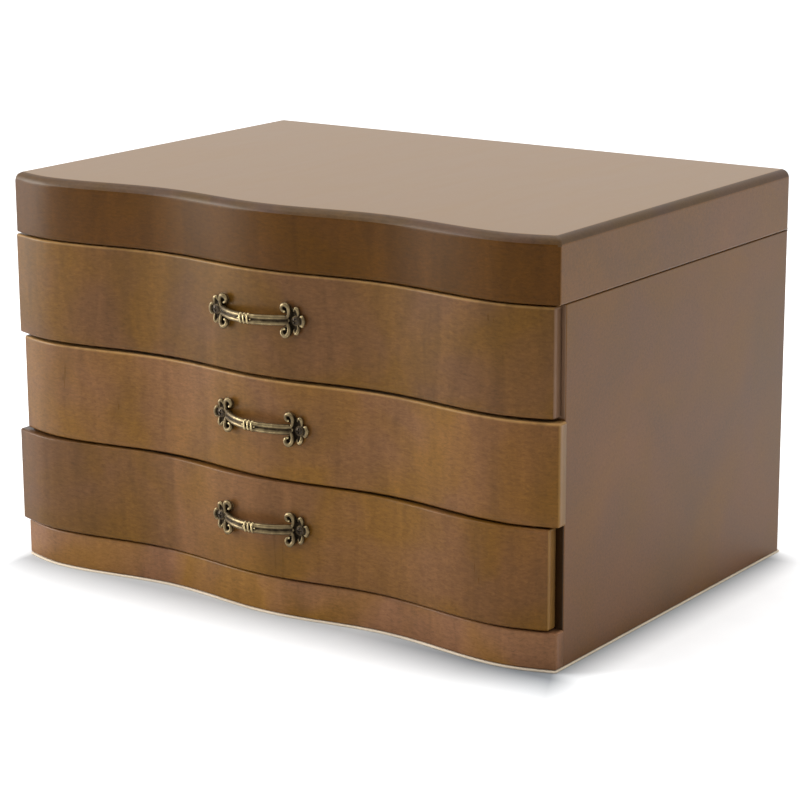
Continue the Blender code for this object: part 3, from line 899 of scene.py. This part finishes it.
def ring_cushion(node, finish, seed):
    """Stuffed velvet roll: swollen by a cloth simulation, its foot flat on the deck."""
    low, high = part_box(node)
    size = high - low
    middle = (low + high) / 2
    bm = bmesh.new()
    rings = []
    for i in range(CUSHION_STEPS + 1):
        share = 2 * i / CUSHION_STEPS - 1
        x = size.x * 0.492 * share
        pinch = (1 - abs(share) ** 9) ** 0.5 if abs(share) < 1 else 0
        pinch = 0.30 + 0.70 * pinch
        ring = []
        for k in range(CUSHION_SIDES):
            angle = math.tau * k / CUSHION_SIDES
            c, s = math.cos(angle), math.sin(angle)
            y = size.y * 0.46 * pinch * math.copysign(abs(c) ** 0.7, c)
            z = size.z * 0.46 * pinch * math.copysign(abs(s) ** 0.75, s)
            wobble = 0.00025 * noise.noise(Vector((x * 90 + seed * 7, y * 90, z * 90)))
            ring.append(bm.verts.new((x, y + wobble, z + wobble)))
        rings.append(ring)
    for first, second in zip(rings, rings[1:]):
        for k in range(CUSHION_SIDES):
            bm.faces.new((first[k - 1], first[k], second[k], second[k - 1]))
    bm.faces.new(rings[0])
    bm.faces.new(reversed(rings[-1]))
    bmesh.ops.triangulate(bm, faces=[f for f in bm.faces if len(f.verts) > 4])
    obj = new_object(node + "_roll", bm, finish)
    start = np.array([v.co for v in obj.data.vertices])
    cloth = modify(obj, "CLOTH")
    for key, value in CUSHION_CLOTH.items():
        setattr(cloth.settings, key, value)
    cloth.settings.effector_weights.gravity = 0.0
    cloth.point_cache.frame_start = 1
    cloth.point_cache.frame_end = CUSHION_FRAMES
    scene = bpy.context.scene
    for number in range(1, CUSHION_FRAMES + 1):
        scene.frame_set(number)
    bake(obj)
    scene.frame_set(1)
    swollen = np.array([v.co for v in obj.data.vertices])
    move = swollen - start
    far = np.linalg.norm(move, axis=1, keepdims=True)
    move *= np.minimum(1, CUSHION_CAP / np.maximum(far, 1e-9))
    half = np.array(size) / 2
    shape = np.clip(start + move, -half, half) + np.array(middle)
    shape[:, 2] = np.maximum(shape[:, 2], low.z)
    obj.data.vertices.foreach_set("co", shape.ravel())
    obj.data.update()
    modify(obj, "SUBSURF", levels=1, render_levels=1)
    bake(obj)
    obj.data.shade_smooth()
    settle(obj, "case", "velvet", node)
    return obj


def base_pad(finish):
    """Thin felt pad glued under the box, cut to the wavy outline."""
    low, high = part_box("felt_base_pad")
    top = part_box("bottom_board")[0].z - 0.0001
    outline = wave((high.x - low.x) / 2, 0)
    outline += [(high.x, high.y), (low.x, high.y)]
    bm = prism(outline, low.z, top)
    weigh(bm, lambda edge: 1.0)
    obj = rounded(new_object("base_felt_pad", bm, finish), 0.0004, 3)
    settle(obj, "case", "base_felt", "felt_base_pad")
    return obj


def mirror(finish):
    """Mirror glass with a wide bevelled border."""
    low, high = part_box("lid_mirror")
    center = ((low.x + high.x) / 2, (low.y + high.y) / 2)
    half = ((high.x - low.x) / 2, (high.y - low.y) / 2)
    levels = ((0.0, high.z), (0.0, low.z + 0.0009), (0.009, low.z))
    rings = []
    for inset, z in levels:
        shape = rounded_rectangle(center, (half[0] - inset, half[1] - inset), 0.0015)
        rings.append([(x, y, z) for x, y in shape])
    obj = ringed("lid_mirror_glass", rings, finish)
    modify(obj, "BEVEL", width=0.00012, segments=2, limit_method="ANGLE", angle_limit=0.3)
    bake(obj)
    return settle(obj, "lid", "mirror", "lid_mirror")


# -------------------------------------------------------------- studio


SURROUND = 0.95  # brightness of the white surround, less in front of the box, more above it
FRONT_SURROUND = 0.45
OVERHEAD_GLOW = 0.45
PAPER_TONES = ((0.940, 0.945, 0.950), (0.960, 0.965, 0.970))
# The soft contact shadow in the paper around the plinth. Each ramp is (from, to, value at the
# first, value at the second).
CONTACT_TONE = (0.15, 0.165, 0.18)
CONTACT_RIGHT = (0.143, 0.166, 1.0, 0.0)  # over x on the right
CONTACT_LEAN = (-0.2, -0.1, -0.05, 0.0)  # over y: what it moves x by, so it widens in front
CONTACT_SIDES = (  # the other sides: axis, where it ends, where it is full
    ("X", -0.157, -0.143), ("Y", -0.148, -0.106), ("Y", 0.108, 0.088),
)
CONTACT_FALL = 1.5  # power of its fading
CONTACT_SHARE = (0.045, 0.11, 0.58, 0.92)  # over x: stronger towards the right front corner
# Softboxes: place, the point they face, size, power.
SOFTBOXES = {
    "overhead": ((0.1, 0.3, 2.2), (0, 0, 0), (2.4, 2.0), 26),
    "upper_left": ((-1.1, -1.0, 1.75), (0, -0.1, 0.1), (0.5, 0.5), 8),
    "left": ((-1.40, -0.85, 0.38), (0, -0.1, 0.09), (0.9, 0.75), 26),
}
CAMERA_PLACE = (0.6763, -0.9681, 0.3746)
CAMERA_TURN = (-35.029, -14.270, -0.291)  # yaw, pitch and roll in degrees
CAMERA_LENS = 118.21


def build_studio():
    """Pale floor, white surround, soft light from above and from the left."""
    scene = bpy.context.scene
    scene.view_settings.view_transform = "Standard"
    scene.world = bpy.data.worlds.new("studio")
    sky = Finish("studio", scene.world)
    toward = sky.add("TexCoord", {}).outputs["Generated"]
    facing = sky.add("VectorMath", {0: toward, 1: (-0.1, -1.0, 0.0)}, operation="DOT_PRODUCT")
    height = sky.add("SeparateXYZ", {0: toward}).outputs["Z"]
    around = sky.remap(facing.outputs["Value"], 0.0, 0.9, SURROUND, FRONT_SURROUND)
    above = sky.remap(height, 0.25, 0.9, 0.0, OVERHEAD_GLOW)
    strength = sky.add("Math", {0: around, 1: above}, operation="ADD").outputs[0]
    sky.put(sky.shader, {"Color": (1, 1, 1, 1), "Strength": strength})
    bm = bmesh.new()
    bmesh.ops.create_grid(bm, x_segments=8, y_segments=8, size=25)
    paper = Finish("studio_paper")
    place = paper.object_place()
    grain = paper.noise(place, 60, 2.0)
    tone = paper.mix(paper.remap(grain, 0.3, 0.7), *PAPER_TONES)
    spot = paper.add("SeparateXYZ", {0: place}).outputs
    lean = paper.add("Math", {0: spot["X"], 1: paper.remap(spot["Y"], *CONTACT_LEAN)})
    near = paper.remap(lean.outputs[0], *CONTACT_RIGHT)
    for axis, empty, full in CONTACT_SIDES:
        near = paper.multiply(near, paper.remap(spot[axis], empty, full))
    near = paper.add("Math", {0: near, 1: CONTACT_FALL}, operation="POWER").outputs[0]
    near = paper.multiply(near, paper.remap(spot["X"], *CONTACT_SHARE))
    tone = paper.mix(near, tone, CONTACT_TONE)
    paper.put(paper.shader, {"Base Color": tone, "Roughness": 0.9, "Specular IOR Level": 0.0})
    new_object("studio_floor", bm, paper.material, recalc=False)
    for name, (place, aim, size, power) in SOFTBOXES.items():
        light = bpy.data.lights.new(name, "AREA")
        light.shape = "RECTANGLE"
        light.size, light.size_y = size
        light.energy = power
        obj = bpy.data.objects.new(name, light)
        obj.location = place
        obj.rotation_euler = (Vector(aim) - Vector(place)).to_track_quat("-Z", "Y").to_euler()
        scene.collection.objects.link(obj)


def build_camera():
    """Camera right of the front, looking a little down."""
    yaw, pitch, roll = (math.radians(angle) for angle in CAMERA_TURN)
    look = Vector((
        math.sin(yaw) * math.cos(pitch), math.cos(yaw) * math.cos(pitch), math.sin(pitch)
    ))
    level = Vector((math.cos(yaw), -math.sin(yaw), 0))
    rise = level.cross(look)
    right = level * math.cos(roll) + rise * math.sin(roll)
    up = rise * math.cos(roll) - level * math.sin(roll)
    data = bpy.data.cameras.new("camera")
    data.sensor_width = 36
    data.lens = CAMERA_LENS
    data.clip_start, data.clip_end = 0.05, 100
    camera = bpy.data.objects.new("camera", data)
    turn = Matrix((right, up, -look)).transposed().to_4x4()
    camera.matrix_world = Matrix.Translation(CAMERA_PLACE) @ turn
    bpy.context.scene.collection.objects.link(camera)
    bpy.context.scene.camera = camera


# ---------------------------------------------------------------- build

STAIN = (0.135, 0.060, 0.014)
TOP_STAIN = (0.146, 0.070, 0.012)
# Tone of the lid's rounded edge: stain, darkened further as painted shade along the roll.
RIM_STAIN_AND_SHADE = (0.058, 0.028, 0.010)
SIDE_STAIN = (0.098, 0.039, 0.007)
LID_STAIN = (0.055, 0.0205, 0.0016)  # of the lid's front
PLINTH_STAIN = (0.163, 0.075, 0.023)
CARCASS_STAIN = (0.200, 0.105, 0.042)
BOX_STAIN = (0.230, 0.128, 0.055)  # of the drawers behind their fronts
FRONT_DEPTH = {1: 0.66, 2: 0.92, 3: 0.88}  # how light each drawer front took the stain
END_SHEEN_SHARE = {1: 1.0, 2: 0.42, 3: 0.42}  # how much of the painted end sheen each front gets
FRONT_GLOSS = {1: 0.12, 2: 0.14, 3: 0.13}
DARK_END = {1: 1.0, 2: 0.95, 3: 0.69}  # tone of the left end of each front
VELVET = (0.30, 0.21, 0.13)


def build_case():
    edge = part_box("right_side_panel")[0].y
    for i, side in enumerate(("left", "right")):
        finish = wood(f"side_wood_{i}", SIDE_STAIN, 0.235, 0.34, 11 + i, True, painted_front_edge=edge)
        straight_board(f"{side}_side_board", f"{side}_side_panel", finish, "case", SIDE_EASE)
    plinth_wood = wood("plinth_wood", PLINTH_STAIN, 0.15, 0.32, 5)
    wavy_board("plinth_board", "plinth_front", plinth_wood, "case", PLINTH_EASE)
    back_wood = wood("back_wood", tinted(STAIN, 0.9), 0.4, 0.42, 21)
    dress("back_panel", back_wood, 0.0005)
    inner_wood = wood("carcass_wood", CARCASS_STAIN, 0.3, 0.5, 23)
    for node in ("bottom_board", "drawer_floor", "shelf_lower", "shelf_upper", "tray_deck"):
        dress(node, inner_wood)
    tray_wood = wood("tray_wood", STAIN, 0.35, 0.38, 25)
    dress("tray_front_rail", tray_wood, 0.0005)
    rim_wood = wood("divider_wood", STAIN, 0.35, 0.38, 26)
    for side in ("left", "right"):
        dress(f"tray_divider_{side}", rim_wood, 0.0007, 3)


def build_drawers(casting, steel, velvet):
    box_wood = wood("drawer_box_wood", BOX_STAIN, 0.3, 0.48, 31)
    for number in (1, 2, 3):
        body = f"drawer_{number}"
        low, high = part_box(f"{body}_front")
        stain = tinted(STAIN, FRONT_DEPTH[number])
        front_wood = wood(
            f"front_wood_{number}", stain, FRONT_GLOSS[number], 0.30, number,
            rub_and_highlight_top=high.z if number < 3 else None,
            end=(high.x, END_SHEEN_SHARE[number], GREY_EDGE_SHEEN if number == 1 else PALE_END_SHEEN),
            dark_end=DARK_END[number], amber=number > 1,
        )
        wavy_board(f"{body}_front_board", f"{body}_front", front_wood, body, FRONT_EASE)
        for part in ("left_side", "right_side", "back", "bottom"):
            dress(f"{body}_{part}", box_wood, 0.0004)
        feet = cast_handle(number, casting)
        for side, foot in zip(("left", "right"), feet):
            node = f"{body}_handle_screw_{side}"
            place = foot @ Matrix.Translation((0, 0, 0.0012))
            screw_head(f"{body}_screw_{side}", place, 0.0017, 0.0006, 0.00085, steel, body, node)
        low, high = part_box(f"{body}_bottom")
        wall_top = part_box(f"{body}_left_side")[1].z
        floor = Vector((low.x, low.y + 0.0002, high.z + 0.0001))
        rim = Vector((high.x, high.y, wall_top - 0.0014))
        folded_lining(f"{body}_lining", floor, rim, velvet, body)


def build_tray(velvet):
    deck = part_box("tray_deck")[1].z
    rail_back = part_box("tray_front_rail")[1].y
    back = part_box("tray_deck")[1].y
    left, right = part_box("tray_divider_left"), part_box("tray_divider_right")
    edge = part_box("tray_deck")[1].x
    rim = left[1].z - 0.0006
    bays = {
        "left": (-edge, left[0].x), "middle": (left[1].x, right[0].x), "right": (right[1].x, edge),
    }
    gap = 0.0002
    for name, (start, stop) in bays.items():
        low = Vector((start + gap, rail_back + gap, deck + 0.0001))
        high = Vector((stop - gap, back - gap, rim))
        name = f"tray_lining_{name}"
        folded_lining(name, low, high, velvet, "case", 0.0002, 0.001)
    for number in (1, 2, 3):
        ring_cushion(f"ring_cushion_{number}", velvet, number)


def build_hinges(brass):
    for side in ("left", "right"):
        for part in ("case_leaf", "lid_leaf", "pin"):
            dress(f"hinge_{side}_{part}", brass, 0.0001)
        for owner in ("case", "lid"):
            for number in (1, 2):
                node = f"hinge_{side}_{owner}_screw_{number}"
                low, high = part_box(node)
                spot = Vector(((low.x + high.x) / 2, high.y - 0.0008, (low.z + high.z) / 2))
                place = Matrix.Translation(spot) @ Matrix.Rotation(math.radians(-90), 4, "X")
                screw_head(
                    f"hinge_{side}_{owner}_head_{number}", place, 0.0016, 0.0008, 0.0005, brass,
                    owner, node,
                )


def main():
    casting = bronze("antique_bronze")
    steel = metal("dark_screw", (0.055, 0.042, 0.030), 0.42)
    brass = metal("hinge_brass", (0.52, 0.37, 0.16), 0.32)
    velvet = fabric("velvet", VELVET, 1500, 0.35, 0.0002, 0.5)
    felt = fabric("base_felt", (0.60, 0.50, 0.38), 900, 0.25, 0.0002, 0.2)
    build_case()
    build_lid(
        wood("lid_wood", SIDE_STAIN, 0.24, 0.30, 8),
        wood("lid_front_wood", LID_STAIN, 0.09, 0.30, 9),
        wood("lid_top_wood", TOP_STAIN, 0.33, 0.30, 8, contrast=0.20),
        wood("lid_rim_wood", RIM_STAIN_AND_SHADE, 0.22, 0.42, 8),
    )
    build_drawers(casting, steel, velvet)
    build_tray(velvet)
    lid_lining(velvet)
    mirror(mirror_glass("mirror_glass"))
    base_pad(felt)
    build_hinges(brass)
    build_studio()
    build_camera()


main()
